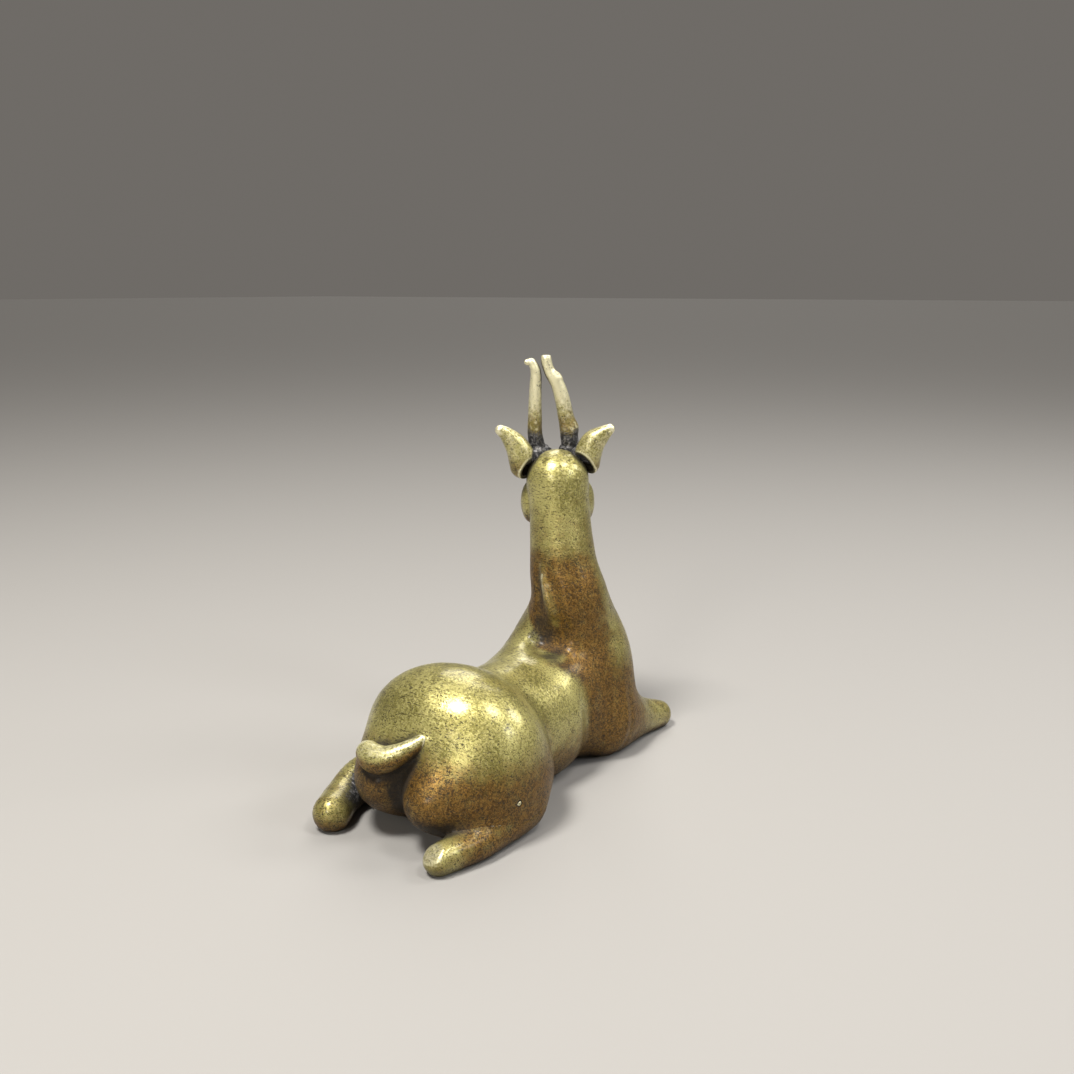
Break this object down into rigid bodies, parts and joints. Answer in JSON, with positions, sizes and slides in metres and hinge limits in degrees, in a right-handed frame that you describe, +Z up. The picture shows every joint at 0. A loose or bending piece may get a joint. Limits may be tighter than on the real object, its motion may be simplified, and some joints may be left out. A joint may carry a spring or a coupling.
{
  "type": "animal statuette",
  "caption": "Small bronze statuette of a lying deer: round haunches, folded stub legs, tall neck, head turned left, cupped ears, spike horns and a curled tail.",
  "frame": {"origin": "middle of the figure's footprint, on the surface that it stands on", "axes": "+Z up, the deer's body points along -Y, its left side is +X"},
  "size_m": [0.0394, 0.0786, 0.0798],
  "materials": {
    "bronze": "aged, olive gold with brown patina, soft gloss",
    "worn_bronze": "rubbed pale on the edges, soft gloss",
    "solder": "dull dark grey, rough"
  },
  "bodies": {
    "root": {"body_casting": "bronze", "belly_plate": "bronze", "hind_leg_left": "bronze", "hind_leg_right": "bronze", "horn_left": "worn_bronze", "horn_right": "worn_bronze", "ear_left": "worn_bronze", "ear_right": "worn_bronze", "tail": "worn_bronze", "core_pin_plug": "worn_bronze", "horn_solder_left": "solder", "horn_solder_right": "solder", "ear_solder_left": "solder", "ear_solder_right": "solder"}
  },
  "joints": []
}
